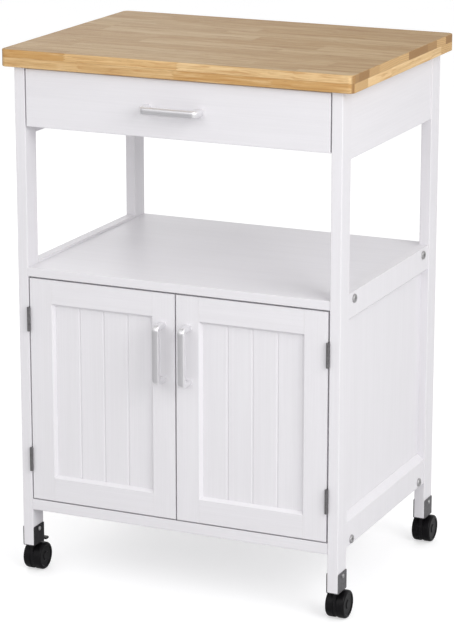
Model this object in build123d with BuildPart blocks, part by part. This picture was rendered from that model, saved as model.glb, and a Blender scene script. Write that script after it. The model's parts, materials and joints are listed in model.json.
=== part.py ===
from build123d import *
import os

os.makedirs("parts", exist_ok=True)

# Carcass of the kitchen cart: four posts that stand on casters.
frame_width = 560.0
frame_depth = 428.0
post_width = 18.0
post_depth = 36.0
post_length = 800.0
post_round = 1.5
side_recess = 2.0
edge_break = 0.8

# Worktop: a stave board on a frame of build-up strips.
worktop_overhang = 20.0
overhang_front = 9.0
overhang_back = 7.0
board_thickness = 13.0
strip_thickness = 15.0
strip_width = 60.0
worktop_corner = 10.0
worktop_round = 2.0
strip_round = 1.5

# Aprons at drawer level, shelf, cabinet floor and cabinet back.
apron_height = 110.0
shelf_thickness = 15.0
shelf_drop = 325.5
floor_thickness = 18.0
floor_rise = 63.0
back_thickness = 4.0
back_recess = 2.0
back_tongue = 5.0

# Side frames: rails with a bevelled inner edge and a panel set in a rabbet.
side_lip = 4.0
side_rail_top_flat = 40.0
side_rail_bottom_flat = 42.0
side_bevel = 9.0
side_bevel_lip = 1.0
side_panel_thickness = 4.0
side_rabbet = 8.0
side_tongue = 6.0
panel_clearance = 0.5

# Screws that tie the side rails to the shelf and to the cabinet floor.
frame_screw_inset = 24.5
frame_screw_radius = 3.0
frame_screw_length = 50.0
frame_screw_head_radius = 7.0
frame_screw_head_height = 3.0
hex_key_size = 4.0
hex_key_depth = 1.8

# Angle brackets that hold the worktop down, with their screws.
bracket_leg = 18.0
bracket_width = 16.0
bracket_thickness = 1.6
bracket_spread = 120.0
bracket_screw_at = 11.0
wood_screw_radius = 1.75
wood_screw_depth = 11.0
wood_screw_head_radius = 3.6
wood_screw_head_height = 2.0

# Drawer: inset front, box and channel slides.
drawer_front_height = 93.0
drawer_front_thickness = 16.0
drawer_gap = 2.0
drawer_side_thickness = 12.0
drawer_side_height = 62.0
drawer_side_rise = 7.0
drawer_back_clearance = 34.0
drawer_bottom_thickness = 4.0
drawer_bottom_rise = 6.0
drawer_groove = 5.0
slide_space = 12.5
slide_thickness = 1.2
slide_gap = 3.0
slide_height = 34.0
slide_clearance = 0.4
slide_rise = 8.0
slide_setback = 4.0
slide_end_setback = 6.0

# Doors: frames with a bevelled inner edge, stiles that run through, and a grooved panel.
door_gap = 2.5
door_thickness = 18.0
door_frame_flat = 39.0
door_bevel_width = 4.5
door_bevel_depth = 6.0
door_bevel_lip = 0.5
door_panel_thickness = 6.0
door_panel_tongue = 7.0
door_panel_slack = 0.2
plank_count = 4
plank_groove_width = 3.2
plank_groove_depth = 1.8

# Arch pulls of the drawer and the doors.
pull_centres = 90.0
pull_width = 12.0
pull_thickness = 9.0
pull_bend = 6.0
pull_round = 2.8
pull_reach = 30.0
door_pull_inset = 21.0
door_pull_drop = 95.5
pull_screw_radius = 1.9
pull_screw_grip = 9.0
pull_screw_head_radius = 4.0
pull_screw_head_height = 2.4

# Butt hinges in the gap between door and post.
hinge_length = 40.0
hinge_inset = 68.0
leaf_thickness = 1.2
leaf_clearance = 0.1
leaf_depth = 16.0
knuckle_radius = 2.75
knuckle_clearance = 0.45
knuckle_gap = 0.35
hinge_pin_radius = 1.25
running_fit = 0.05

# Magnetic catches under the shelf and their strike plates.
catch_length = 26.0
catch_height = 12.0
catch_depth = 16.0
catch_offset = 22.0
catch_gap = 0.3
catch_round = 2.0
strike_thickness = 1.0
strike_length = 24.0
strike_height = 10.0

# Foot brackets: steel channels folded round the end of each post.
foot_plate = 1.5
foot_flange_height = 31.0
foot_flange_width = 34.0
foot_bend = 1.4
foot_corner = 2.0
foot_screw_drop = 6.5
foot_screw_depth = 5.5

# Casters: hood with a riveted swivel stem, twin wheels and a brake lever.
wheel_radius = 23.0
wheel_width = 13.2
wheel_round = 3.5
wheel_inner_round = 0.6
wheel_gap = 0.4
hub_rim = 5.0
hub_dish = 1.2
hub_cap = 7.0
axle_radius = 3.0
axle_cover = 4.0
axle_end_gap = 0.5
caster_trail = 12.5
web_thickness = 5.0
web_inset = 1.0
web_drop = 19.0
wheel_top_gap = 0.6
hood_radius = 9.0
hood_height = 1.6
hood_round = 0.5
hood_gap = 0.3
neck_inset = 1.0
neck_root = 1.0
stem_radius = 4.0
rivet_radius = 6.0
rivet_height = 2.5
rivet_gap = 0.2
rivet_side_room = 0.8
rivet_head_room = 1.5
lug_radius = 4.0
lug_reach = 13.5
lug_height = 20.5
lever_thickness = 2.4
lever_clearance = 0.3
lever_radius = 3.6
lever_pin_radius = 1.5
pedal_clearance = 0.8
pedal_length = 11.0
pedal_width = 14.0
pedal_thickness = 3.0

# Largest distance at which an edge still counts as lying at a stated place.
edge_match = 0.01

# Positions that follow from the sizes above, in the frame of the whole object.
foot_height = 2 * wheel_radius + wheel_top_gap + hood_height + hood_gap + foot_plate
half_width = frame_width / 2
inner_x = half_width - post_width
face_x = half_width - side_recess
back_reach = max(overhang_back, caster_trail + wheel_radius - post_depth / 2)
y_front = pull_reach - (pull_reach + frame_depth + back_reach) / 2
y_back = y_front + frame_depth
y_front_in = y_front + post_depth
y_back_in = y_back - post_depth
y_middle = (y_front + y_back) / 2
worktop_x = half_width + worktop_overhang
worktop_y_front = y_front - overhang_front
worktop_y_back = y_back + overhang_back
z_top = foot_height + post_length
z_board = z_top + strip_thickness
z_shelf = z_top - shelf_drop
z_shelf_under = z_shelf - shelf_thickness
z_floor_under = foot_height + floor_rise
z_floor = z_floor_under + floor_thickness
back_y_out = y_back - back_recess
back_y_in = back_y_out - back_thickness
side_rail_top_z = z_shelf + side_lip
side_panel_x = inner_x + side_panel_thickness
rail_low_edge = z_floor_under + side_rail_bottom_flat + side_bevel
rail_high_edge = side_rail_top_z - side_rail_top_flat - side_bevel
panel_z_low = rail_low_edge - side_rabbet
panel_z_high = rail_high_edge + side_rabbet
frame_screw_ys = (y_front_in + frame_screw_inset, y_back_in - frame_screw_inset)
shelf_screw_z = z_shelf_under + shelf_thickness / 2
floor_screw_z = z_floor_under + floor_thickness / 2
post_centre_x = half_width - post_width / 2
hood_top = foot_height - foot_plate - hood_gap
hood_low = hood_top - hood_height
rivet_z = foot_height + rivet_gap
rivet_z_high = rivet_z + rivet_height
foot_screw_z = foot_height + foot_flange_height - foot_screw_drop
drawer_z_low = z_top - drawer_gap - drawer_front_height
drawer_side_z = drawer_z_low + drawer_side_rise
drawer_side_x = inner_x - slide_space
drawer_bottom_z = drawer_side_z + drawer_bottom_rise
drawer_y_in = y_front + drawer_front_thickness
drawer_y_back = y_back - post_width - drawer_back_clearance
slide_z_low = drawer_side_z + slide_rise
slide_y = drawer_y_in + slide_setback
slide_y_back = drawer_y_back - slide_end_setback
slide_depth = slide_space - slide_gap
hinge_gap = 2 * leaf_thickness + leaf_clearance
door_width = inner_x - hinge_gap - door_gap / 2
door_z_low = z_floor + door_gap
door_z_high = z_shelf_under - door_gap
door_height = door_z_high - door_z_low
door_centre_x = door_gap / 2 + door_width / 2
door_y_back = y_front + door_thickness
door_frame_width = door_frame_flat + door_bevel_width
door_panel_y = y_front + door_bevel_depth + door_bevel_lip
door_pull_x = door_gap / 2 + door_pull_inset
door_pull_z = door_z_high - door_pull_drop
hinge_zs = (door_z_low + hinge_inset, door_z_high - hinge_inset)
hinge_x = inner_x - hinge_gap / 2
hinge_y = y_front - knuckle_radius - knuckle_clearance

SIDES = (("left", -1), ("right", 1))


def slab(x0, x1, y0, y1, z0, z1, mode=Mode.ADD):
    """A box between two corners."""
    with Locations(((x0 + x1) / 2, (y0 + y1) / 2, (z0 + z1) / 2)):
        Box(abs(x1 - x0), abs(y1 - y0), abs(z1 - z0), mode=mode)


def rod_x(x0, x1, y, z, radius, mode=Mode.ADD):
    """A round bar along X."""
    with Locations(Location(((x0 + x1) / 2, y, z), (0, 90, 0))):
        Cylinder(radius, abs(x1 - x0), mode=mode)


def rod_y(x, y0, y1, z, radius, mode=Mode.ADD):
    """A round bar along Y."""
    with Locations(Location((x, (y0 + y1) / 2, z), (90, 0, 0))):
        Cylinder(radius, abs(y1 - y0), mode=mode)


def rod_z(x, y, z0, z1, radius, mode=Mode.ADD):
    """A round bar along Z."""
    with Locations((x, y, (z0 + z1) / 2)):
        Cylinder(radius, abs(z1 - z0), mode=mode)


def save(builder, name):
    """Label a finished piece and write its STEP file."""
    builder.part.label = name
    export_step(builder.part, f"parts/{name}.step")


def strip_blank(builder):
    """The full outline of the build-up frame, rounded along its lower edge."""
    slab(-worktop_x, worktop_x, worktop_y_front, worktop_y_back, z_top, z_board)
    fillet(builder.edges().filter_by(Axis.Z), worktop_corner)
    fillet(builder.faces().sort_by(Axis.Z)[0].edges(), strip_round)


# Worktop
with BuildPart() as worktop_board:
    slab(-worktop_x, worktop_x, worktop_y_front, worktop_y_back, z_board, z_board + board_thickness)
    fillet(worktop_board.edges().filter_by(Axis.Z), worktop_corner)
    fillet(worktop_board.faces().sort_by(Axis.Z)[-1].edges(), worktop_round)
save(worktop_board, "worktop_board")

strip_y_front = worktop_y_front + strip_width
strip_y_back = worktop_y_back - strip_width
strip_x = worktop_x - strip_width
bracket_ys = (y_middle - bracket_spread, y_middle + bracket_spread)
bracket_x = inner_x - bracket_screw_at

with BuildPart() as worktop_strips_long:
    strip_blank(worktop_strips_long)
    slab(-worktop_x, worktop_x, strip_y_front, strip_y_back, z_top, z_board, Mode.SUBTRACT)
save(worktop_strips_long, "worktop_strips_long")

with BuildPart() as worktop_strips_short:
    strip_blank(worktop_strips_short)
    slab(-worktop_x, worktop_x, worktop_y_front, strip_y_front, z_top, z_board, Mode.SUBTRACT)
    slab(-worktop_x, worktop_x, strip_y_back, worktop_y_back, z_top, z_board, Mode.SUBTRACT)
    slab(-strip_x, strip_x, strip_y_front, strip_y_back, z_top, z_board, Mode.SUBTRACT)
    for _, side in SIDES:
        for y in bracket_ys:
            rod_z(side * bracket_x, y, z_top, z_top + wood_screw_depth, wood_screw_radius, Mode.SUBTRACT)
save(worktop_strips_short, "worktop_strips_short")

# Posts
for side_name, side in SIDES:
    for end_name, y0 in (("front", y_front), ("back", y_back_in)):
        y1 = y0 + post_depth
        with BuildPart() as post:
            slab(side * inner_x, side * half_width, y0, y1, foot_height, z_top)
            fillet(post.edges().filter_by(Axis.Z), post_round)
            if end_name == "front":
                slab(side * inner_x, side * side_panel_x, y1 - side_tongue, y1, panel_z_low, panel_z_high,
                     Mode.SUBTRACT)
            else:
                slab(side * inner_x, side * side_panel_x, y0, y0 + side_tongue, panel_z_low, panel_z_high,
                     Mode.SUBTRACT)
                slab(side * inner_x, side * (inner_x + back_tongue), back_y_in, back_y_out, z_floor_under,
                     z_shelf_under, Mode.SUBTRACT)
            y_mid = (y0 + y1) / 2
            rod_z(side * post_centre_x, y_mid, foot_height, rivet_z_high + rivet_head_room,
                  rivet_radius + rivet_side_room, Mode.SUBTRACT)
            rod_x(side * inner_x, side * half_width, y_mid, foot_screw_z, wood_screw_radius, Mode.SUBTRACT)
        save(post, f"post_{end_name}_{side_name}")

# Aprons
apron_z_low = z_top - apron_height
for side_name, side in SIDES:
    with BuildPart() as apron:
        slab(side * inner_x, side * face_x, y_front_in, y_back_in, apron_z_low, z_top)
        chamfer(apron.edges().filter_by(Axis.Y).group_by(Axis.Z)[0], edge_break)
        for y in bracket_ys:
            rod_x(side * inner_x, side * (inner_x + wood_screw_depth), y, z_top - bracket_screw_at,
                  wood_screw_radius, Mode.SUBTRACT)
    save(apron, f"apron_{side_name}")

with BuildPart() as apron_back:
    slab(-inner_x, inner_x, y_back - post_width, y_back - side_recess, apron_z_low, z_top)
    chamfer(apron_back.edges().filter_by(Axis.X).group_by(Axis.Z)[0], edge_break)
save(apron_back, "apron_back")

# Shelf, cabinet floor and cabinet back
screw_bite = frame_screw_length - (face_x - inner_x)

with BuildPart() as shelf_board:
    slab(-inner_x, inner_x, y_front, y_back, z_shelf_under, z_shelf)
    chamfer(shelf_board.edges().filter_by(Axis.X), edge_break)
    for _, side in SIDES:
        for y in frame_screw_ys:
            rod_x(side * inner_x, side * (inner_x - screw_bite), y, shelf_screw_z, frame_screw_radius,
                  Mode.SUBTRACT)
save(shelf_board, "shelf_board")

with BuildPart() as cabinet_floor:
    slab(-inner_x, inner_x, y_front, back_y_in, z_floor_under, z_floor)
    chamfer(cabinet_floor.edges().filter_by(Axis.X).group_by(Axis.Y)[0], edge_break)
    for _, side in SIDES:
        for y in frame_screw_ys:
            rod_x(side * inner_x, side * (inner_x - screw_bite), y, floor_screw_z, frame_screw_radius,
                  Mode.SUBTRACT)
save(cabinet_floor, "cabinet_floor")

with BuildPart() as cabinet_back:
    back_x = inner_x + back_tongue - panel_clearance
    slab(-back_x, back_x, back_y_in, back_y_out, z_floor_under, z_shelf_under)
save(cabinet_back, "cabinet_back")

# Side frames
rail_length = y_back_in - y_front_in
for side_name, side in SIDES:
    with BuildPart() as side_rails:
        with BuildSketch(Plane(origin=(0, y_middle, 0), x_dir=(side, 0, 0), z_dir=(0, -side, 0))):
            with BuildLine():
                Polyline(
                    (inner_x, z_floor_under),
                    (face_x, z_floor_under),
                    (face_x, rail_low_edge - side_bevel),
                    (side_panel_x + side_bevel_lip, rail_low_edge),
                    (side_panel_x, rail_low_edge),
                    (side_panel_x, panel_z_low),
                    (inner_x, panel_z_low),
                    close=True,
                )
            make_face()
            with BuildLine():
                Polyline(
                    (inner_x, side_rail_top_z),
                    (face_x, side_rail_top_z),
                    (face_x, rail_high_edge + side_bevel),
                    (side_panel_x + side_bevel_lip, rail_high_edge),
                    (side_panel_x, rail_high_edge),
                    (side_panel_x, panel_z_high),
                    (inner_x, panel_z_high),
                    close=True,
                )
            make_face()
        extrude(amount=rail_length / 2, both=True)
        for y in frame_screw_ys:
            for z in (shelf_screw_z, floor_screw_z):
                rod_x(side * inner_x, side * face_x, y, z, frame_screw_radius, Mode.SUBTRACT)
    save(side_rails, f"side_rails_{side_name}")

    with BuildPart() as side_panel:
        slab(side * inner_x, side * side_panel_x, y_front_in - side_tongue + panel_clearance,
             y_back_in + side_tongue - panel_clearance, panel_z_low + panel_clearance,
             panel_z_high - panel_clearance)
    save(side_panel, f"side_panel_{side_name}")

with BuildPart() as frame_screws:
    for _, side in SIDES:
        for y in frame_screw_ys:
            for z in (shelf_screw_z, floor_screw_z):
                rod_x(side * (inner_x - screw_bite), side * face_x, y, z, frame_screw_radius)
                rod_x(side * face_x, side * (face_x + frame_screw_head_height), y, z,
                      frame_screw_head_radius)
    crowns = frame_screws.edges().filter_by(GeomType.CIRCLE)
    crown_x = face_x + frame_screw_head_height
    crowns = crowns.filter_by(lambda edge: abs(abs(edge.center().X) - crown_x) < edge_match)
    fillet(crowns, frame_screw_head_height / 2)
    for _, side in SIDES:
        for y in frame_screw_ys:
            for z in (shelf_screw_z, floor_screw_z):
                head_x = side * (face_x + frame_screw_head_height)
                with BuildSketch(Plane(origin=(head_x, y, z), x_dir=(0, 1, 0), z_dir=(side, 0, 0))):
                    RegularPolygon(hex_key_size / 2, 6, major_radius=False)
                extrude(amount=-hex_key_depth, mode=Mode.SUBTRACT)
save(frame_screws, "frame_screws")

# Brackets under the worktop
with BuildPart() as worktop_brackets:
    for _, side in SIDES:
        for y in bracket_ys:
            y0 = y - bracket_width / 2
            y1 = y + bracket_width / 2
            slab(side * inner_x, side * (inner_x - bracket_thickness), y0, y1, z_top - bracket_leg, z_top)
            slab(side * inner_x, side * (inner_x - bracket_leg), y0, y1, z_top - bracket_thickness, z_top)
            rod_z(side * bracket_x, y, z_top - bracket_thickness, z_top, wood_screw_radius, Mode.SUBTRACT)
            rod_x(side * inner_x, side * (inner_x - bracket_thickness), y, z_top - bracket_screw_at,
                  wood_screw_radius, Mode.SUBTRACT)
save(worktop_brackets, "worktop_brackets")

with BuildPart() as worktop_screws:
    for _, side in SIDES:
        for y in bracket_ys:
            z_head = z_top - bracket_thickness
            rod_z(side * bracket_x, y, z_head, z_top + wood_screw_depth, wood_screw_radius)
            rod_z(side * bracket_x, y, z_head - wood_screw_head_height, z_head, wood_screw_head_radius)
            x_head = inner_x - bracket_thickness
            z = z_top - bracket_screw_at
            rod_x(side * x_head, side * (inner_x + wood_screw_depth), y, z, wood_screw_radius)
            rod_x(side * x_head, side * (x_head - wood_screw_head_height), y, z, wood_screw_head_radius)
save(worktop_screws, "worktop_screws")


def arch_pull(name, centre, along, across):
    """A bent flat bar that stands off the face y = y_front, tapped at both feet."""
    foot = along * (pull_centres / 2)
    knee = Vector(0, -(pull_reach - pull_thickness / 2), 0)
    out = Vector(0, -1, 0)
    with BuildPart() as pull:
        with BuildLine() as path:
            FilletPolyline(centre - foot, centre - foot + knee, centre + foot + knee, centre + foot,
                           radius=pull_bend)
        with BuildSketch(Plane(origin=centre - foot, x_dir=across, z_dir=out)):
            RectangleRounded(pull_width, pull_thickness, pull_round)
        sweep(path=path.line)
        for end in (centre - foot, centre + foot):
            rod_y(end.X, end.Y, end.Y - pull_screw_grip, end.Z, pull_screw_radius, Mode.SUBTRACT)
    save(pull, name)


def pull_screws(centre, along, back_y):
    """The two machine screws of one pull, driven from behind the face."""
    for end in (centre - along * (pull_centres / 2), centre + along * (pull_centres / 2)):
        rod_y(end.X, back_y, end.Y - pull_screw_grip, end.Z, pull_screw_radius)
        rod_y(end.X, back_y, back_y + pull_screw_head_height, end.Z, pull_screw_head_radius)


def pull_holes(centre, along, back_y):
    """Clearance through the board behind a pull, the same size as its screws."""
    for end in (centre - along * (pull_centres / 2), centre + along * (pull_centres / 2)):
        rod_y(end.X, end.Y, back_y, end.Z, pull_screw_radius, Mode.SUBTRACT)


along_x = Vector(1, 0, 0)
along_z = Vector(0, 0, 1)

# Drawer
drawer_pull_centre = Vector(0, y_front, drawer_z_low + drawer_front_height / 2)
drawer_front_x = inner_x - drawer_gap
drawer_in_x = drawer_side_x - drawer_side_thickness
drawer_side_z_high = drawer_side_z + drawer_side_height
drawer_bottom_top = drawer_bottom_z + drawer_bottom_thickness

with BuildPart() as drawer_front:
    slab(-drawer_front_x, drawer_front_x, y_front, drawer_y_in, drawer_z_low,
         drawer_z_low + drawer_front_height)
    chamfer(drawer_front.faces().sort_by(Axis.Y)[0].edges(), edge_break)
    slab(-drawer_in_x - drawer_groove, drawer_in_x + drawer_groove, drawer_y_in - drawer_groove, drawer_y_in,
         drawer_bottom_z, drawer_bottom_top, Mode.SUBTRACT)
    pull_holes(drawer_pull_centre, along_x, drawer_y_in)
save(drawer_front, "drawer_front")

for side_name, side in SIDES:
    with BuildPart() as drawer_side:
        slab(side * drawer_in_x, side * drawer_side_x, drawer_y_in, drawer_y_back, drawer_side_z,
             drawer_side_z_high)
        chamfer(drawer_side.edges().filter_by(Axis.Y).group_by(Axis.Z)[-1], edge_break)
        slab(side * drawer_in_x, side * (drawer_in_x + drawer_groove), drawer_y_in, drawer_y_back,
             drawer_bottom_z, drawer_bottom_top, Mode.SUBTRACT)
    save(drawer_side, f"drawer_side_{side_name}")

with BuildPart() as drawer_back:
    slab(-drawer_in_x, drawer_in_x, drawer_y_back - drawer_side_thickness, drawer_y_back, drawer_bottom_top,
         drawer_side_z_high)
    chamfer(drawer_back.edges().filter_by(Axis.X).group_by(Axis.Z)[-1], edge_break)
save(drawer_back, "drawer_back")

with BuildPart() as drawer_bottom:
    bottom_x = drawer_in_x + drawer_groove - panel_clearance
    slab(-bottom_x, bottom_x, drawer_y_in - drawer_groove + panel_clearance, drawer_y_back, drawer_bottom_z,
         drawer_bottom_top)
save(drawer_bottom, "drawer_bottom")

arch_pull("drawer_pull", drawer_pull_centre, along_x, along_z)

with BuildPart() as drawer_pull_screws:
    pull_screws(drawer_pull_centre, along_x, drawer_y_in)
save(drawer_pull_screws, "drawer_pull_screws")

slide_z_high = slide_z_low + slide_height
slide_inset = slide_thickness + slide_clearance
for side_name, side in SIDES:
    with BuildPart() as runner:
        slab(side * inner_x, side * (inner_x - slide_depth), slide_y, slide_y_back, slide_z_low, slide_z_high)
        slab(side * (inner_x - slide_thickness), side * (inner_x - slide_depth), slide_y, slide_y_back,
             slide_z_low + slide_thickness, slide_z_high - slide_thickness, Mode.SUBTRACT)
    save(runner, f"runner_{side_name}")

    with BuildPart() as drawer_slide:
        slab(side * drawer_side_x, side * (drawer_side_x + slide_depth), drawer_y_in, slide_y_back,
             slide_z_low + slide_inset, slide_z_high - slide_inset)
        slab(side * (drawer_side_x + slide_thickness), side * (drawer_side_x + slide_depth), drawer_y_in,
             slide_y_back, slide_z_low + slide_inset + slide_thickness,
             slide_z_high - slide_inset - slide_thickness, Mode.SUBTRACT)
    save(drawer_slide, f"drawer_slide_{side_name}")

# Doors
groove_front = door_bevel_depth + door_bevel_lip
groove_back = groove_front + door_panel_thickness + door_panel_slack
groove_width_in = door_frame_width - door_panel_tongue


def frame_member(name, middle, inward, length, runs_through, holes_at=None):
    """One member of a door frame, from its outer edge towards the panel, with the ends of its bevel mitred."""
    depth_dir = Vector(0, 1, 0)
    half = length / 2
    low_end = [(door_frame_flat, door_frame_flat - half), (door_frame_width, door_frame_width - half)]
    if runs_through:
        low_end = [(0, -half), (door_frame_flat, -half)] + low_end
    else:
        low_end = [(0, door_frame_flat - half)] + low_end
    high_end = [(inset, -run) for inset, run in reversed(low_end)]
    with BuildPart() as member:
        with BuildSketch(Plane(origin=middle, x_dir=inward, z_dir=inward.cross(depth_dir))):
            with BuildLine():
                Polyline(
                    (0, 0),
                    (door_frame_flat, 0),
                    (door_frame_width, door_bevel_depth),
                    (door_frame_width, groove_front),
                    (groove_width_in, groove_front),
                    (groove_width_in, groove_back),
                    (door_frame_width, groove_back),
                    (door_frame_width, door_thickness),
                    (0, door_thickness),
                    close=True,
                )
            make_face()
        extrude(amount=half, both=True)
        with BuildSketch(Plane(origin=middle, x_dir=inward, z_dir=depth_dir)):
            with BuildLine():
                Polyline(*low_end, *high_end, close=True)
            make_face()
        extrude(amount=door_thickness, mode=Mode.INTERSECT)
        if holes_at is not None:
            pull_holes(holes_at, along_z, door_y_back)
    save(member, name)


door_z_mid = (door_z_low + door_z_high) / 2
panel_half_width = door_width / 2 - groove_width_in - panel_clearance
panel_half_height = door_height / 2 - groove_width_in - panel_clearance
plank_pitch = (door_width - 2 * door_frame_width) / plank_count
z_third = (hinge_length - 2 * knuckle_gap) / 3


def leaf_plate(x0, x1, z):
    """The flat of one hinge leaf, inside the gap beside the door."""
    slab(x0, x1, y_front, y_front + leaf_depth, z - hinge_length / 2, z + hinge_length / 2)


def knuckle(x0, x1, x_axis, z0, z1):
    """One knuckle with the tongue that joins it to its leaf."""
    slab(x0, x1, hinge_y, y_front + leaf_thickness, z0, z1)
    rod_z(x_axis, hinge_y, z0, z1, knuckle_radius)


for side_name, side in SIDES:
    door = f"door_{side_name}"
    centre_x = side * door_centre_x
    pull_centre = Vector(side * door_pull_x, y_front, door_pull_z)
    hinge_edge = Vector(side * (inner_x - hinge_gap), y_front, door_z_mid)
    meeting_edge = Vector(side * door_gap / 2, y_front, door_z_mid)
    frame_member(f"{door}_stile_hinge", hinge_edge, Vector(-side, 0, 0), door_height, True)
    frame_member(f"{door}_stile_meeting", meeting_edge, Vector(side, 0, 0), door_height, True, pull_centre)
    top_edge = Vector(centre_x, y_front, door_z_high)
    bottom_edge = Vector(centre_x, y_front, door_z_low)
    frame_member(f"{door}_rail_top", top_edge, Vector(0, 0, -1), door_width, False)
    frame_member(f"{door}_rail_bottom", bottom_edge, Vector(0, 0, 1), door_width, False)

    with BuildPart() as door_panel:
        slab(centre_x - panel_half_width, centre_x + panel_half_width, door_panel_y,
             door_panel_y + door_panel_thickness, door_z_mid - panel_half_height,
             door_z_mid + panel_half_height)
        panel_middle = (centre_x, door_panel_y, door_z_mid)
        with BuildSketch(Plane(origin=panel_middle, x_dir=(1, 0, 0), z_dir=(0, 0, 1))):
            for plank in range(1, plank_count):
                groove_x = (plank - plank_count / 2) * plank_pitch
                with BuildLine():
                    Polyline(
                        (groove_x - plank_groove_width / 2, 0),
                        (groove_x + plank_groove_width / 2, 0),
                        (groove_x, plank_groove_depth),
                        close=True,
                    )
                make_face()
        extrude(amount=panel_half_height, both=True, mode=Mode.SUBTRACT)
    save(door_panel, f"{door}_panel")

    arch_pull(f"{door}_pull", pull_centre, along_z, along_x)

    with BuildPart() as door_hinges:
        for z in hinge_zs:
            leaf_x = side * (inner_x - hinge_gap)
            leaf_plate(leaf_x, leaf_x + side * leaf_thickness, z)
            knuckle(leaf_x, leaf_x + side * leaf_thickness, side * hinge_x, z - z_third / 2, z + z_third / 2)
            rod_z(side * hinge_x, hinge_y, z - z_third / 2, z + z_third / 2, hinge_pin_radius + running_fit,
                  Mode.SUBTRACT)
    save(door_hinges, f"{door}_hinges")

    with BuildPart() as door_fixings:
        pull_screws(pull_centre, along_z, door_y_back)
        strike_x = side * catch_offset
        slab(strike_x - strike_length / 2, strike_x + strike_length / 2, door_y_back,
             door_y_back + strike_thickness, door_z_high - strike_height, door_z_high)
    save(door_fixings, f"{door}_fixings")

with BuildPart() as hinge_post_leaves:
    for _, side in SIDES:
        for z in hinge_zs:
            leaf_x = side * inner_x
            leaf_in = leaf_x - side * leaf_thickness
            leaf_plate(leaf_x, leaf_in, z)
            for end in (-1, 1):
                near = z + end * (z_third / 2 + knuckle_gap)
                far = z + end * hinge_length / 2
                knuckle(leaf_x, leaf_in, side * hinge_x, min(near, far), max(near, far))
            rod_z(side * hinge_x, hinge_y, z - hinge_length / 2, z + hinge_length / 2, hinge_pin_radius)
save(hinge_post_leaves, "hinge_post_leaves")

catch_y = door_y_back + strike_thickness + catch_gap
with BuildPart() as door_catches:
    for _, side in SIDES:
        x = side * catch_offset
        slab(x - catch_length / 2, x + catch_length / 2, catch_y, catch_y + catch_depth,
             z_shelf_under - catch_height, z_shelf_under)
    fillet(door_catches.edges().filter_by(Axis.Z), catch_round)
save(door_catches, "door_catches")

# Foot brackets and their screws
foot_ys = (y_front + post_depth / 2, y_back - post_depth / 2)
CORNERS = [(s_name, s, e_name, y) for s_name, s in SIDES for e_name, y in zip(("front", "back"), foot_ys)]
half_post = post_width / 2

with BuildPart() as foot_brackets:
    for _, side, _, y in CORNERS:
        x = side * post_centre_x
        with BuildSketch(Plane(origin=(x, y, foot_height), x_dir=(1, 0, 0), z_dir=(0, -1, 0))):
            with Locations((0, (foot_flange_height - foot_plate) / 2)):
                Rectangle(post_width + 2 * foot_plate, foot_flange_height + foot_plate)
            with Locations((0, foot_flange_height / 2)):
                Rectangle(post_width, foot_flange_height, mode=Mode.SUBTRACT)
        extrude(amount=foot_flange_width / 2, both=True)
        rod_z(x, y, foot_height - foot_plate, foot_height, stem_radius + running_fit, Mode.SUBTRACT)
        rod_x(x - half_post - foot_plate, x + half_post + foot_plate, y, foot_screw_z, wood_screw_radius,
              Mode.SUBTRACT)
    fillet(foot_brackets.edges().filter_by(Axis.Y).group_by(Axis.Z)[0], foot_bend)
    fillet(foot_brackets.edges().filter_by(Axis.X).group_by(Axis.Z)[-1], foot_corner)
save(foot_brackets, "foot_brackets")

with BuildPart() as foot_screws:
    for _, side, _, y in CORNERS:
        for end in (-1, 1):
            x = side * post_centre_x
            x_head = x + end * (half_post + foot_plate)
            rod_x(x + end * (half_post - foot_screw_depth), x_head, y, foot_screw_z, wood_screw_radius)
            rod_x(x_head, x_head + end * wood_screw_head_height, y, foot_screw_z, wood_screw_head_radius)
    heads = foot_screws.edges().filter_by(GeomType.CIRCLE)
    head_reach = half_post + foot_plate + wood_screw_head_height
    head_xs = (post_centre_x - head_reach, post_centre_x + head_reach)
    heads = heads.filter_by(lambda edge: min(abs(abs(edge.center().X) - x) for x in head_xs) < edge_match)
    fillet(heads, wood_screw_head_height / 2)
save(foot_screws, "foot_screws")

# Casters
half_web = web_thickness / 2
web_radius = wheel_radius - web_inset
wheel_in = half_web + wheel_gap
wheel_out = wheel_in + wheel_width
bore_end = wheel_out - axle_cover
slot_half = lever_thickness / 2 + lever_clearance


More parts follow.
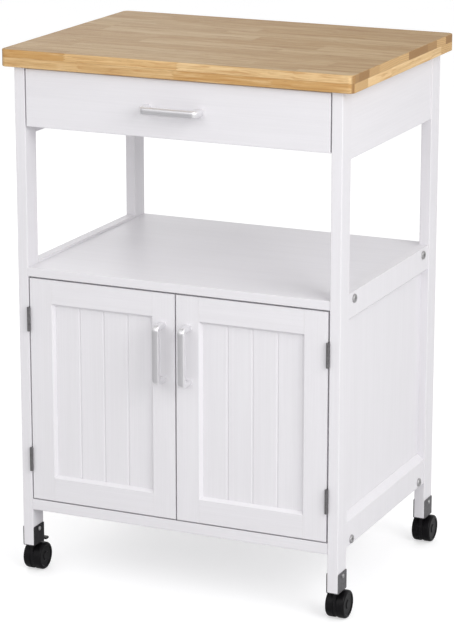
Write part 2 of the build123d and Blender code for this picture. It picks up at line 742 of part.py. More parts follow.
def caster(corner, x, y, braked):
    """One twin-wheel caster whose wheels trail behind the post."""
    wheel_y = y + caster_trail
    lug_y = wheel_y + lug_reach
    lug_z = wheel_radius + lug_height
    with BuildPart() as hood:
        rod_z(x, y, hood_low, hood_top, hood_radius)
        fillet(hood.edges().group_by(Axis.Z)[-1], hood_round)
        with BuildSketch(Plane(origin=(x, y, 0), x_dir=(0, 1, 0), z_dir=(1, 0, 0))):
            with Locations((caster_trail, wheel_radius)):
                Circle(web_radius)
            with Locations((caster_trail, wheel_radius - web_drop - web_radius)):
                Rectangle(2 * web_radius, 2 * web_radius, mode=Mode.SUBTRACT)
            with Locations((0, hood_low + neck_root / 2)):
                Rectangle(2 * (hood_radius - neck_inset), neck_root)
            if braked:
                with Locations((lug_y - y, lug_z)):
                    Circle(lug_radius)
            make_hull()
        extrude(amount=half_web, both=True)
        if braked:
            slab(x - slot_half, x + slot_half, lug_y - lug_radius - lever_clearance,
                 lug_y + lug_radius + pedal_length, lug_z - lug_radius - lever_clearance, foot_height,
                 Mode.SUBTRACT)
            rod_x(x - half_web, x + half_web, lug_y, lug_z, lever_pin_radius)
        rod_z(x, y, hood_top - hood_round, rivet_z, stem_radius)
        rod_z(x, y, rivet_z, rivet_z_high, rivet_radius)
        rod_x(x - bore_end + axle_end_gap, x + bore_end - axle_end_gap, wheel_y, wheel_radius, axle_radius)
    save(hood, f"caster_{corner}_hood")

    with BuildPart() as wheels:
        for end in (-1, 1):
            axle_middle = (x, wheel_y, wheel_radius)
            with BuildSketch(Plane(origin=axle_middle, x_dir=(end, 0, 0), z_dir=(0, -end, 0))):
                with BuildLine():
                    Polyline(
                        (wheel_in, axle_radius + running_fit),
                        (wheel_in, wheel_radius),
                        (wheel_out, wheel_radius),
                        (wheel_out, wheel_radius - hub_rim),
                        (wheel_out - hub_dish, wheel_radius - hub_rim - hub_dish),
                        (wheel_out - hub_dish, hub_cap + hub_dish),
                        (wheel_out, hub_cap),
                        (wheel_out, 0),
                        (bore_end, 0),
                        (bore_end, axle_radius + running_fit),
                        close=True,
                    )
                make_face()
            revolve(axis=Axis((x, wheel_y, wheel_radius), (1, 0, 0)))
        for reach, radius in ((wheel_out, wheel_round), (wheel_in, wheel_inner_round)):
            rims = wheels.edges().filter_by(GeomType.CIRCLE)
            rims = rims.filter_by(lambda edge: abs(edge.radius - wheel_radius) < edge_match)
            rims = rims.filter_by(lambda edge: abs(abs(edge.center().X - x) - reach) < edge_match)
            fillet(rims, radius)
    save(wheels, f"caster_{corner}_wheels")

    if braked:
        with BuildPart() as lever:
            rod_x(x - lever_thickness / 2, x + lever_thickness / 2, lug_y, lug_z, lever_radius)
            slab(x - lever_thickness / 2, x + lever_thickness / 2, lug_y,
                 lug_y + lug_radius + pedal_thickness, lug_z, lug_z + lever_radius)
            slab(x - pedal_width / 2, x + pedal_width / 2, lug_y + lug_radius + pedal_clearance,
                 lug_y + lug_radius + pedal_length, lug_z + lever_radius - pedal_thickness,
                 lug_z + lever_radius)
            fillet(lever.edges().filter_by(Axis.Z).group_by(Axis.Y)[-1], pedal_thickness)
            rod_x(x - lever_thickness, x + lever_thickness, lug_y, lug_z, lever_pin_radius + running_fit,
                  Mode.SUBTRACT)
        save(lever, f"caster_{corner}_brake")


for side_name, side, end_name, y in CORNERS:
    corner = f"{end_name}_{side_name}"
    caster(corner, side * post_centre_x, y, corner == "front_left")
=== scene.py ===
import json
import math

import bpy
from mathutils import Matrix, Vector


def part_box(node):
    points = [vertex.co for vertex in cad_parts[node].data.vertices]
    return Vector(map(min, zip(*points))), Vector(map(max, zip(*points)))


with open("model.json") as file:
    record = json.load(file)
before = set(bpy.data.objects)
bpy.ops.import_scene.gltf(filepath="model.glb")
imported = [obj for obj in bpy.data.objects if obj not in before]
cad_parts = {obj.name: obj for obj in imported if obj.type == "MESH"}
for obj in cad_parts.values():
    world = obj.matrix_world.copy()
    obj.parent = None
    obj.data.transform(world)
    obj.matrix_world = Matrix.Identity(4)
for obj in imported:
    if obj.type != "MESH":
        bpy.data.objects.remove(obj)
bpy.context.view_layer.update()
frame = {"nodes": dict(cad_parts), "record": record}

AXES = "XYZ"


def rgb(red, green, blue):
    return (red, green, blue, 1.0)


# Camera, fitted to the photo by the corners of the worktop and the posts.
CAMERA_AZIMUTH = math.radians(24.3)
CAMERA_ELEVATION = math.radians(15.2)
CAMERA_DISTANCE = 4.4
CAMERA_AIM = Vector((-0.0045, 0.0, 0.414))
CAMERA_LENS = 150.0

# Studio: strengths of the white surround, and soft boxes by name, place, size and power.
WORLD_LIGHT = 0.74
WORLD_SEEN = 1.05
FLOOR_HALF = 12.0
FLOOR_GLOW = 0.50
OBJECT_MIDDLE = (0.0, 0.0, 0.45)
SOFT_BOXES = (
    ("key_right", (2.6, -1.5, 2.0), (2.0, 2.0), 53.0),
    ("key_front", (-0.4, -3.0, 2.0), (2.4, 2.0), 18.0),
    ("fill_back", (-2.2, 2.4, 1.9), (2.4, 2.4), 12.0),
)

# Sizes of the wood, in metres.
STAVE_WIDTH = 0.0425
STAVE_BLOCK = 0.24
STRIP_WIDTH = 0.060
STRIP_BLOCK = 0.14
FINGER_PITCH = 0.004
FINGER_DEPTH = 0.0045
GLUE_LINE = 0.00022
SEAM_LINE = 2 * GLUE_LINE
KNOT_RADIUS = 0.0026
KNOT_HEART = 0.3 * KNOT_RADIUS
KNOTS_PER_METRE = 13.0

# How the staves are dealt: seeds, shares of the block length, and slides of one row against the next.
BOARD_SEED = 2741.0
STRIPS_LONG_SEED = 265.0
STRIPS_SHORT_SEED = 17.0
LENGTH_SEED_STEP = 3.0
HUE_SEED_STEP = 11.0
ROW_SHIFT = 0.0137
ROW_SLIDE = 7.0
GRAIN_SLIDE = 9.0
SHORTEST_BLOCK = 0.75
LONGEST_BLOCK = 1.3

# Sizes on the painted boards, the brackets and the pulls.
EDGE_WEAR = 0.0022
EASED_EDGE = 0.0008
EASED_SEGMENTS = 2
SHARP_ANGLE = math.radians(35.0)
FLAT_ANGLE = math.radians(0.5)
WELD_REACH = 1e-6
# Width over which the painted shade on the inner flanges of the brackets fades in.
PAINTED_SHADE_FADE = 0.008
CROWN_RADIUS = 0.016

# Grain, brush and mill lines: cycles per metre along and across them.
PAINT_STREAKS = (7.0, 420.0)
PAINT_FIGURE = (2.2, 34.0)
PAINT_PORES = (55.0, 1500.0)
WOOD_FIGURE = (2.6, 70.0)
WOOD_STREAKS = (9.0, 620.0)
WOOD_FLAME = (13.0, 230.0)
WOOD_PORES = (70.0, 1700.0)
BRUSH_LINES = (25.0, 2600.0)
MILL_LINES = (40.0, 1300.0)

# Colours of the paint.
PAINT_SHADE = rgb(0.765, 0.750, 0.779)
PAINT_LIGHT = rgb(0.795, 0.781, 0.811)
PAINT_CLOUD = rgb(0.755, 0.742, 0.757)
PAINT_PORE = rgb(0.60, 0.57, 0.57)
PAINT_WORN = rgb(0.60, 0.56, 0.50)

# Colours of the wood: long faces, end grain, seams and knots, and the painted shade on the top.
WOOD_DARK = rgb(0.50, 0.268, 0.082)
WOOD_PALE = rgb(0.79, 0.565, 0.30)
WOOD_ORANGE = rgb(0.68, 0.385, 0.125)
WOOD_HANDLED = rgb(0.66, 0.43, 0.18)
WOOD_FIGURED = rgb(0.44, 0.245, 0.08)
WOOD_FLECK = rgb(0.80, 0.57, 0.30)
WOOD_STREAK = rgb(0.42, 0.225, 0.075)
FLAME_DARK = rgb(0.44, 0.20, 0.052)
FLAME_PALE = rgb(0.86, 0.64, 0.36)
WOOD_PORE = rgb(0.25, 0.13, 0.05)
END_DARK = rgb(0.33, 0.18, 0.066)
END_PALE = rgb(0.66, 0.425, 0.19)
END_RING = rgb(0.32, 0.172, 0.062)
END_SPECK = rgb(0.20, 0.10, 0.036)
GLUE = rgb(0.27, 0.15, 0.06)
KNOT = rgb(0.20, 0.095, 0.035)
TOP_PAINTED_SHADE = rgb(0.63, 0.645, 0.70)

# Colours of the metals, the nylon, the coatings and the floor, darker one first.
PULL_FACE = (rgb(0.62, 0.611, 0.629), rgb(0.74, 0.729, 0.751))
PULL_HAZE = rgb(0.54, 0.535, 0.55)
# Painted highlight: the sides and rounded edges of the pulls made lighter than the face.
PULL_SIDE_HIGHLIGHT = rgb(0.90, 0.895, 0.905)
HINGE_STEEL = (rgb(0.13, 0.125, 0.13), rgb(0.26, 0.255, 0.26))
ZINC_STEEL = (rgb(0.40, 0.395, 0.40), rgb(0.58, 0.575, 0.58))
BRACKET_STEEL = (rgb(0.15, 0.147, 0.152), rgb(0.25, 0.245, 0.255))
STEEL_GRIME = rgb(0.10, 0.095, 0.09)
# Painted shade on the inner flanges of the foot brackets, near black.
STEEL_PAINTED_SHADE = rgb(0.035, 0.034, 0.037)
NYLON = (rgb(0.0045, 0.0042, 0.0050), rgb(0.0085, 0.0080, 0.0092))
TREAD_SCUFF = rgb(0.020, 0.019, 0.0195)
HARDBOARD = (rgb(0.68, 0.66, 0.67), rgb(0.74, 0.72, 0.735))
ENAMEL = (rgb(0.70, 0.69, 0.70), rgb(0.76, 0.75, 0.765))
PLASTIC = (rgb(0.70, 0.69, 0.69), rgb(0.75, 0.74, 0.745))
COATING_FIBRE = rgb(0.50, 0.47, 0.43)
FLOOR = (rgb(0.62, 0.62, 0.625), rgb(0.65, 0.65, 0.655))
WHITE = rgb(1.0, 1.0, 1.0)


class Shader:
    """A node material built round one Principled shader."""

    def __init__(self, name, roughness=0.5, metallic=0.0):
        self.material = bpy.data.materials.new(name)
        self.material.use_nodes = True
        self.tree = self.material.node_tree
        self.surface = self.tree.nodes["Principled BSDF"]
        self.set(Roughness=roughness, Metallic=metallic)
        place = self.node("ShaderNodeTexCoord")
        self.point = place.outputs["Object"]
        self.normal = place.outputs["Normal"]

    def set(self, **values):
        """Put constants or links on the shader's own sockets; an underscore stands for a space."""
        for key, value in values.items():
            self.feed(self.surface.inputs[key.replace("_", " ")], value)

    def feed(self, socket, value):
        if isinstance(value, bpy.types.NodeSocket):
            self.tree.links.new(value, socket)
        else:
            socket.default_value = value

    def node(self, kind, inputs=None, **settings):
        made = self.tree.nodes.new(kind)
        for key, value in settings.items():
            setattr(made, key, value)
        for key, value in (inputs or {}).items():
            self.feed(made.inputs[key], value)
        return made

    def math(self, operation, a, b=0.0, c=0.0):
        return self.node("ShaderNodeMath", {0: a, 1: b, 2: c}, operation=operation).outputs[0]

    def weighted(self, value, weight, rest):
        """value * weight + rest"""
        return self.math("MULTIPLY_ADD", value, weight, rest)

    def scaled(self, value, low, high):
        """A value from 0 to 1 mapped to low..high."""
        return self.weighted(value, high - low, low)

    def vector(self, operation, a, b):
        return self.node("ShaderNodeVectorMath", {0: a, 1: b}, operation=operation).outputs[0]

    def parts(self, vector):
        return self.node("ShaderNodeSeparateXYZ", {0: vector}).outputs

    def join(self, x, y, z=0.0):
        return self.node("ShaderNodeCombineXYZ", {0: x, 1: y, 2: z}).outputs[0]

    def along_axis(self, axis, lines):
        """The object point stretched for lines that run along one axis."""
        along, across = lines
        factors = [across] * 3
        factors[AXES.index(axis)] = along
        return self.vector("MULTIPLY", self.point, factors)

    def noise(self, vector, scale=1.0, detail=3.0, roughness=0.55, distortion=0.0):
        made = self.node("ShaderNodeTexNoise", {"Vector": vector, "Scale": scale, "Detail": detail,
                                                "Roughness": roughness, "Distortion": distortion})
        return made.outputs["Fac"]

    def cells(self, scale, output):
        made = self.node("ShaderNodeTexVoronoi", {"Vector": self.point, "Scale": scale})
        return made.outputs[output]

    def random(self, x, y, z=0.0):
        made = self.node("ShaderNodeTexWhiteNoise", {"Vector": self.join(x, y, z)},
                         noise_dimensions="3D")
        return made.outputs["Value"]

    def between(self, value, low, high):
        """0 at low, 1 at high, with a smooth step; low may be above high."""
        made = self.node("ShaderNodeMapRange", {"Value": value, "From Min": low, "From Max": high},
                         interpolation_type="SMOOTHSTEP", clamp=True)
        return made.outputs["Result"]

    def mix(self, factor, a, b, blend="MIX"):
        made = self.node("ShaderNodeMix", {0: factor, 6: a, 7: b}, data_type="RGBA", blend_type=blend)
        return made.outputs[2]

    def tint(self, tone, mask, amount, colour, blend="MIX"):
        """A tone taken towards a colour, by an amount, where a mask is 1."""
        return self.mix(self.math("MULTIPLY", mask, amount), tone, colour, blend)

    def bump(self, height, distance, strength, under=None):
        """Bump on the shader's normal, over an earlier bump if one is given."""
        made = self.node("ShaderNodeBump",
                         {"Height": height, "Distance": distance, "Strength": strength})
        if under:
            self.feed(made.inputs["Normal"], under)
        self.set(Normal=made.outputs["Normal"])
        return made.outputs["Normal"]


def edge_mask(shader, box):
    """1 on the edges of a board, from its own box, fading over the width of the wear."""
    low, high = box
    middle = (low + high) / 2
    half = (high - low) / 2
    away = shader.vector("SUBTRACT", shader.point, middle)
    reach = shader.node("ShaderNodeVectorMath", {0: away}, operation="ABSOLUTE").outputs[0]
    x, y, z = [shader.math("SUBTRACT", size, value) for size, value in zip(half, shader.parts(reach))]
    least = shader.math("MINIMUM", shader.math("MINIMUM", x, y), z)
    most = shader.math("MAXIMUM", shader.math("MAXIMUM", x, y), z)
    total = shader.math("ADD", shader.math("ADD", x, y), z)
    second = shader.math("SUBTRACT", shader.math("SUBTRACT", total, least), most)
    return shader.between(second, EDGE_WEAR, 0.0)


def white_paint(name, grain, box):
    """Satin white paint over wood, with the grain showing through and thin paint on the edges."""
    shader = Shader(name)
    streaks = shader.noise(shader.along_axis(grain, PAINT_STREAKS), detail=4.0, roughness=0.6)
    figure = shader.noise(shader.along_axis(grain, PAINT_FIGURE), distortion=0.6)
    cloud = shader.noise(shader.point, scale=7.0, detail=2.0)
    peel = shader.noise(shader.point, scale=900.0, detail=2.0)
    pores = shader.between(shader.noise(shader.along_axis(grain, PAINT_PORES), detail=2.0), 0.64, 0.74)
    patches = shader.between(shader.noise(shader.point, scale=60.0), 0.35, 0.7)
    wear = shader.math("MULTIPLY", edge_mask(shader, box), patches)

    grain_tone = shader.weighted(streaks, 0.55, shader.math("MULTIPLY", figure, 0.45))
    tone = shader.mix(shader.between(grain_tone, 0.36, 0.66), PAINT_SHADE, PAINT_LIGHT)
    tone = shader.mix(shader.scaled(cloud, 0.0, 0.22), tone, PAINT_CLOUD)
    tone = shader.tint(tone, pores, 0.08, PAINT_PORE)
    tone = shader.tint(tone, wear, 0.14, PAINT_WORN)

    rough = shader.weighted(wear, -0.08, shader.scaled(cloud, 0.36, 0.52))
    shader.set(Base_Color=tone, Roughness=rough, Coat_Weight=0.08, Coat_Roughness=0.3)
    height = shader.weighted(streaks, 0.6, shader.math("MULTIPLY", peel, 0.25))
    height = shader.weighted(pores, -0.35, height)
    shader.bump(height, distance=0.00016, strength=0.4)
    return shader.material


def rubberwood(name, along, across, width, block, seed, seam_z):
    """Finger-jointed staves that run along one axis: block tones, grain, pores, seams and end grain."""
    shader = Shader(name)
    spots = dict(zip(AXES, shader.parts(shader.point)))
    normal = dict(zip(AXES, shader.parts(shader.normal)))

    # Rows of staves, cut into blocks whose ends zigzag like finger joints.
    row_place = shader.math("DIVIDE", shader.math("ADD", spots[across], seed * ROW_SHIFT), width)
    row = shader.math("FLOOR", row_place)
    row_random = shader.random(row, seed)
    finger = shader.math("PINGPONG", shader.math("ADD", spots[across], spots["Z"]), FINGER_PITCH / 2)
    run = shader.weighted(finger, FINGER_DEPTH / (FINGER_PITCH / 2), spots[along])
    length = shader.scaled(shader.random(row, seed + LENGTH_SEED_STEP),
                           block * SHORTEST_BLOCK, block * LONGEST_BLOCK)
    block_place = shader.math("ADD", shader.math("DIVIDE", run, length),
                              shader.math("MULTIPLY", row_random, ROW_SLIDE))
    block_index = shader.math("FLOOR", block_place)
    tone_random = shader.random(row, block_index, seed)
    hue_random = shader.random(row, block_index, seed + HUE_SEED_STEP)

    # Grain, with a new piece of it in each block.
    slide = shader.math("MULTIPLY", tone_random, GRAIN_SLIDE)
    slide = shader.join(slide, slide, slide)
    figure_point = shader.vector("ADD", shader.along_axis(along, WOOD_FIGURE), slide)
    figure = shader.noise(figure_point, detail=4.0, roughness=0.6, distortion=0.9)
    fine = shader.noise(figure_point, scale=6.0, roughness=0.6)
    streaks = shader.noise(shader.along_axis(along, WOOD_STREAKS), roughness=0.6, distortion=0.4)
    flame_point = shader.vector("ADD", shader.along_axis(along, WOOD_FLAME), slide)
    flame = shader.noise(flame_point, roughness=0.6, distortion=0.7)
    pores = shader.between(shader.noise(shader.along_axis(along, WOOD_PORES), detail=2.0), 0.62, 0.72)

    # Long faces; the top is handled most, and the same mask later carries painted shade on the top.
    handled_and_shaded_top = shader.between(normal["Z"], 0.6, 0.95)
    tone = shader.mix(shader.between(tone_random, 0.0, 0.85), WOOD_DARK, WOOD_PALE)
    tone = shader.tint(tone, hue_random, 0.35, WOOD_ORANGE)
    tone = shader.tint(tone, handled_and_shaded_top, 0.45, WOOD_HANDLED)
    tone = shader.tint(tone, shader.between(figure, 0.44, 0.66), 0.42, WOOD_FIGURED)
    tone = shader.tint(tone, shader.between(fine, 0.5, 0.75), 0.25, WOOD_FLECK)
    tone = shader.tint(tone, shader.between(streaks, 0.48, 0.72), 0.40, WOOD_STREAK)
    tone = shader.tint(tone, shader.between(flame, 0.52, 0.66), 0.60, FLAME_DARK)
    tone = shader.tint(tone, shader.between(flame, 0.47, 0.34), 0.34, FLAME_PALE)
    tone = shader.tint(tone, pores, 0.36, WOOD_PORE)

    # End grain, with rings about a different heart in each row.
    end_face = shader.between(shader.math("ABSOLUTE", normal[along]), 0.45, 0.8)
    heart = shader.join(0.0, shader.scaled(row_random, -0.05, 0.05), shader.scaled(hue_random, -0.08, 0.08))
    ring_wave = shader.node("ShaderNodeTexWave",
                            {"Vector": shader.vector("ADD", shader.point, heart), "Scale": 95.0,
                             "Distortion": 3.0, "Detail": 3.0, "Detail Scale": 2.0},
                            wave_type="RINGS", rings_direction=along)
    speckle = shader.between(shader.noise(shader.point, scale=1300.0, detail=2.0), 0.5, 0.72)
    end_tone = shader.mix(shader.between(row_random, 0.3, 0.7), END_DARK, END_PALE)
    end_tone = shader.tint(end_tone, ring_wave.outputs["Fac"], 0.4, END_RING)
    end_tone = shader.tint(end_tone, speckle, 0.5, END_SPECK)
    tone = shader.mix(end_face, tone, end_tone)

    # Glue lines between rows and blocks, the seam between board and strips, and knots.
    row_edge = shader.math("MULTIPLY", shader.math("PINGPONG", row_place, 0.5), width)
    row_line = shader.between(row_edge, GLUE_LINE, 0.0)
    block_edge = shader.math("MULTIPLY", shader.math("PINGPONG", block_place, 0.5), length)
    block_line = shader.math("MULTIPLY", shader.between(block_edge, GLUE_LINE, 0.0),
                             shader.math("SUBTRACT", 1.0, end_face))
    seam_gap = shader.math("ABSOLUTE", shader.math("SUBTRACT", spots["Z"], seam_z))
    line = shader.math("MAXIMUM", row_line, block_line)
    line = shader.math("MAXIMUM", line, shader.between(seam_gap, SEAM_LINE, 0.0))
    tone = shader.tint(tone, line, 0.5, GLUE)
    knots = shader.between(shader.cells(KNOTS_PER_METRE, "Distance"),
                           KNOT_RADIUS * KNOTS_PER_METRE, KNOT_HEART * KNOTS_PER_METRE)
    tone = shader.tint(tone, knots, 0.7, KNOT)
    # Painted shade: the top faces darkened and cooled.
    tone = shader.tint(tone, handled_and_shaded_top, 0.9, TOP_PAINTED_SHADE, "MULTIPLY")

    rough = shader.weighted(pores, 0.15, shader.scaled(figure, 0.42, 0.58))
    shader.set(Base_Color=tone, Roughness=rough, Specular_IOR_Level=0.38)
    height = shader.weighted(pores, -0.6, shader.math("MULTIPLY", fine, 0.4))
    height = shader.weighted(line, -0.7, height)
    shader.bump(height, distance=0.00015, strength=0.6)
    return shader.material


def satin_aluminium(name, length_axis, across, box):
    """Brushed and anodised bar: brush lines along its length, a slightly crowned face, and a painted
    highlight on its sides.
    """
    low, high = [corner[AXES.index(across)] for corner in box]
    shader = Shader(name, metallic=1.0)
    brush = shader.noise(shader.along_axis(length_axis, BRUSH_LINES), roughness=0.65)
    haze = shader.noise(shader.point, scale=90.0)
    tone = shader.mix(brush, *PULL_FACE)
    tone = shader.tint(tone, haze, 0.2, PULL_HAZE)
    facing = shader.math("ABSOLUTE", shader.parts(shader.normal)[AXES.index("Y")])
    # Painted highlight: faces turned away from the front, the sides and rounded edges, made lighter.
    tone = shader.mix(shader.between(facing, 0.97, 0.75), tone, PULL_SIDE_HIGHLIGHT)
    rough = shader.weighted(brush, 0.16, shader.scaled(haze, 0.25, 0.36))
    shader.set(Base_Color=tone, Roughness=rough, Anisotropic=0.35)
    spot = shader.parts(shader.point)[AXES.index(across)]
    offset = shader.math("SUBTRACT", spot, (low + high) / 2)
    crown = shader.math("DIVIDE", shader.math("MULTIPLY", offset, offset), -2 * CROWN_RADIUS)
    crowned = shader.bump(crown, distance=1.0, strength=1.0)
    shader.bump(brush, distance=0.00004, strength=0.5, under=crowned)
    return shader.material


def sheet_steel(name, shade, roughness, painted_shade_inside=None):
    """Zinc-plated or plain rolled steel: faint spangle, mill lines, grime, and painted shade on the inner
    sides.
    """
    shader = Shader(name, metallic=1.0)
    spangle = shader.parts(shader.cells(420.0, "Color"))[0]
    lines = shader.noise(shader.along_axis("Z", MILL_LINES))
    stain = shader.noise(shader.point, scale=130.0, detail=4.0, roughness=0.65)
    tone = shader.mix(shader.weighted(lines, 0.6, shader.math("MULTIPLY", spangle, 0.4)), *shade)
    tone = shader.tint(tone, shader.between(stain, 0.5, 0.75), 0.3, STEEL_GRIME)
    # Painted shade: everything inward of the posts' middles, the inner flanges, made near black.
    if painted_shade_inside:
        reach = shader.math("ABSOLUTE", shader.parts(shader.point)[AXES.index("X")])
        shaded_inside = shader.between(reach, painted_shade_inside + PAINTED_SHADE_FADE, painted_shade_inside - PAINTED_SHADE_FADE)
        tone = shader.tint(tone, shaded_inside, 0.85, STEEL_PAINTED_SHADE)
    rough = shader.weighted(stain, 0.22, shader.scaled(lines, roughness - 0.12, roughness))
    shader.set(Base_Color=tone, Roughness=rough)
    shader.bump(shader.weighted(stain, 0.5, lines), distance=0.00006, strength=0.5)
    return shader.material


def black_nylon(name):
    """Moulded black nylon with a fine spark-eroded grain."""
    shader = Shader(name)
    grain = shader.noise(shader.point, scale=1600.0, detail=2.0)
    cloud = shader.noise(shader.point, scale=70.0)
    shader.set(Base_Color=shader.mix(cloud, *NYLON), Roughness=shader.scaled(cloud, 0.34, 0.48),
               Specular_IOR_Level=0.16)
    shader.bump(grain, distance=0.00012, strength=0.5)
    return shader.material


def black_wheel(name, box):
    """Hard wheel: lathe lines on its sides, and a tread with fine scuffs."""
    low, high = box
    radius = (high.z - low.z) / 2
    shader = Shader(name)
    away = shader.vector("SUBTRACT", shader.point, (low + high) / 2)
    flat = shader.vector("MULTIPLY", away, (0.0, 1.0, 1.0))
    spoke = shader.node("ShaderNodeVectorMath", {0: flat}, operation="LENGTH").outputs["Value"]
    tread = shader.between(spoke, radius * 0.93, radius * 0.985)
    x, y, z = shader.parts(away)
    turn = shader.math("ARCTAN2", y, z)
    scuff_point = shader.join(shader.math("MULTIPLY", x, 900.0), shader.math("MULTIPLY", turn, 3.0), spoke)
    scuffs = shader.between(shader.noise(scuff_point, detail=4.0, roughness=0.65), 0.52, 0.74)
    scuffs = shader.math("MULTIPLY", scuffs, tread)
    grain = shader.noise(shader.point, scale=1500.0, detail=2.0)
    lathe = shader.noise(shader.join(shader.math("MULTIPLY", spoke, 2600.0), 0.0), detail=2.0)
    nylon_dark, nylon_light = NYLON
    tone = shader.mix(scuffs, nylon_dark, TREAD_SCUFF)
    tone = shader.tint(tone, lathe, 0.35, nylon_light)
    rough = shader.weighted(scuffs, 0.2, shader.scaled(grain, 0.26, 0.36))
    shader.set(Base_Color=tone, Roughness=rough, Specular_IOR_Level=0.12)
    height = shader.weighted(grain, 0.5, shader.math("MULTIPLY", lathe, 0.4))
    shader.bump(height, distance=0.00012, strength=0.5)
    return shader.material


def coated_board(name, shade, speck, roughness):
    """Smooth white coating with fibre specks: hardboard, enamelled channels and plastic catches."""
    dull, bright = shade
    shader = Shader(name)
    cloud = shader.noise(shader.point, scale=18.0)
    fibre = shader.between(shader.noise(shader.point, scale=700.0, roughness=0.7), 0.58, 0.75)
    tone = shader.mix(cloud, bright, dull)
    tone = shader.tint(tone, fibre, speck, COATING_FIBRE)
    shader.set(Base_Color=tone, Roughness=shader.scaled(cloud, roughness, roughness + 0.14))
    shader.bump(shader.noise(shader.point, scale=900.0, detail=2.0), distance=0.0001, strength=0.4)
    return shader.material


def grain_axis(node, box):
    """The longest side of a board sets its grain, except where panels stand upright."""
    if node.endswith("_panel") or node.startswith("side_panel"):
        return "Z"
    size = box[1] - box[0]
    return AXES[max(range(3), key=lambda index: size[index])]


def finish_for(node, slot):
    """The material of one CAD node, by the record's slot."""
    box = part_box(node)
    if slot == "white_paint":
        return white_paint(f"paint_{node}", grain_axis(node, box), box)
    if slot == "rubberwood":
        if node == "worktop_board":
            return rubberwood("wood_board", "X", "Y", STAVE_WIDTH, STAVE_BLOCK, BOARD_SEED, box[0].z)
        if node == "worktop_strips_long":
            return rubberwood("wood_strips_long", "X", "Y", STRIP_WIDTH, STRIP_BLOCK, STRIPS_LONG_SEED,
                              box[1].z)
        return rubberwood("wood_strips_short", "Y", "X", STRIP_WIDTH, STRIP_BLOCK, STRIPS_SHORT_SEED,
                          box[1].z)
    if slot == "satin_aluminium":
        length_axis, across = ("X", "Z") if node == "drawer_pull" else ("Z", "X")
        return satin_aluminium(f"aluminium_{node}", length_axis, across, box)
    if "hinge" in node and slot == "zinc_steel":
        return sheet_steel(f"hinge_{node}", HINGE_STEEL, roughness=0.44)
    if slot == "zinc_steel":
        return sheet_steel(f"zinc_{node}", ZINC_STEEL, roughness=0.42)
    if slot == "bracket_steel":
        # The brackets get painted shade inward of the posts' middles.
        post_low, post_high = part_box("post_front_right")
        return sheet_steel("bracket_steel", BRACKET_STEEL, roughness=0.46,
                           painted_shade_inside=(post_low.x + post_high.x) / 2)
    if slot == "black_nylon":
        return black_nylon(f"nylon_{node}")
    if slot == "black_wheel":
        return black_wheel(f"wheel_{node}", box)
    if slot == "white_hardboard":
        return coated_board(f"hardboard_{node}", HARDBOARD, speck=0.25, roughness=0.5)
    if slot == "white_enamel":
        return coated_board(f"enamel_{node}", ENAMEL, speck=0.05, roughness=0.28)
    return coated_board(f"plastic_{node}", PLASTIC, speck=0.03, roughness=0.4)


def ease_edges(piece):
    """A small round on the sharp edges of a painted board, as modifiers over the CAD mesh."""
    weld = piece.modifiers.new("weld", "WELD")
    weld.merge_threshold = WELD_REACH
    flat = piece.modifiers.new("flat", "DECIMATE")
    flat.decimate_type = "DISSOLVE"
    flat.angle_limit = FLAT_ANGLE
    bevel = piece.modifiers.new("bevel", "BEVEL")
    bevel.width = EASED_EDGE
    bevel.segments = EASED_SEGMENTS
    bevel.limit_method = "ANGLE"
    bevel.angle_limit = SHARP_ANGLE
    piece.modifiers.new("normals", "WEIGHTED_NORMAL")


for part in frame["record"]["subparts"]:
    piece = frame["nodes"][part["node"]]
    piece.data.materials.clear()
    piece.data.materials.append(finish_for(part["node"], part["material_slot"]))
    if part["material_slot"] == "white_paint":
        ease_edges(piece)


def area_light(name, place, size, power):
    """A soft box that faces the middle of the object."""
    lamp = bpy.data.lights.new(name, "AREA")
    lamp.shape = "RECTANGLE"
    lamp.size, lamp.size_y = size
    lamp.energy = power
    lamp_object = bpy.data.objects.new(name, lamp)
    lamp_object.location = place
    towards = Vector(OBJECT_MIDDLE) - Vector(place)
    lamp_object.rotation_euler = towards.to_track_quat("-Z", "Y").to_euler()
    bpy.context.scene.collection.objects.link(lamp_object)


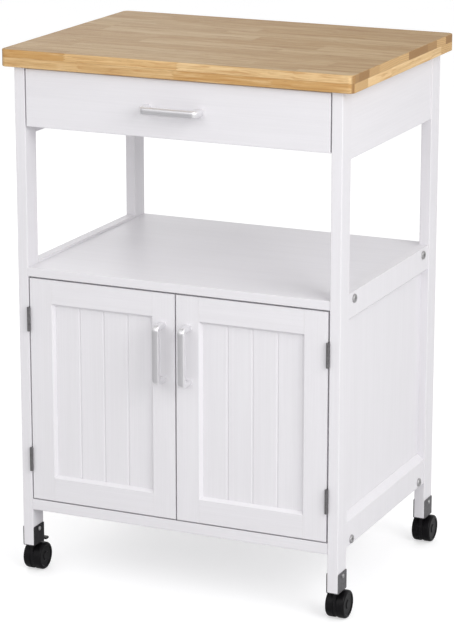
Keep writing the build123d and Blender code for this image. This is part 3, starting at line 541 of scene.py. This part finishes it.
# Studio: a white floor that glows a little to the camera alone, a white surround and soft boxes.
floor_mesh = bpy.data.meshes.new("floor")
floor_corners = [(sx * FLOOR_HALF, sy * FLOOR_HALF, 0.0) for sx, sy in ((-1, -1), (1, -1), (1, 1), (-1, 1))]
floor_mesh.from_pydata(floor_corners, [], [(0, 1, 2, 3)])
floor = bpy.data.objects.new("floor", floor_mesh)
bpy.context.scene.collection.objects.link(floor)
floor_shader = Shader("floor", roughness=0.7)
floor_seen = floor_shader.node("ShaderNodeLightPath").outputs["Is Camera Ray"]
floor_shader.set(Base_Color=floor_shader.mix(floor_shader.noise(floor_shader.point, scale=3.0), *FLOOR),
                 Emission_Color=WHITE,
                 Emission_Strength=floor_shader.math("MULTIPLY", floor_seen, FLOOR_GLOW))
floor_mesh.materials.append(floor_shader.material)

world = bpy.data.worlds.new("studio")
world.use_nodes = True
world_nodes = world.node_tree.nodes
world_links = world.node_tree.links
seen = world_nodes.new("ShaderNodeLightPath")
strength = world_nodes.new("ShaderNodeMapRange")
strength.inputs["To Min"].default_value = WORLD_LIGHT
strength.inputs["To Max"].default_value = WORLD_SEEN
world_links.new(seen.outputs["Is Camera Ray"], strength.inputs["Value"])
world_links.new(strength.outputs["Result"], world_nodes["Background"].inputs["Strength"])
world_nodes["Background"].inputs["Color"].default_value = WHITE
bpy.context.scene.world = world

for soft_box in SOFT_BOXES:
    area_light(*soft_box)

camera_data = bpy.data.cameras.new("camera")
camera_data.lens = CAMERA_LENS
camera = bpy.data.objects.new("camera", camera_data)
back = Vector((math.sin(CAMERA_AZIMUTH) * math.cos(CAMERA_ELEVATION),
               -math.cos(CAMERA_AZIMUTH) * math.cos(CAMERA_ELEVATION),
               math.sin(CAMERA_ELEVATION)))
camera.location = CAMERA_AIM + back * CAMERA_DISTANCE
camera.rotation_euler = (-back).to_track_quat("-Z", "Y").to_euler()
bpy.context.scene.collection.objects.link(camera)
bpy.context.scene.camera = camera
bpy.context.scene.view_settings.view_transform = "Standard"
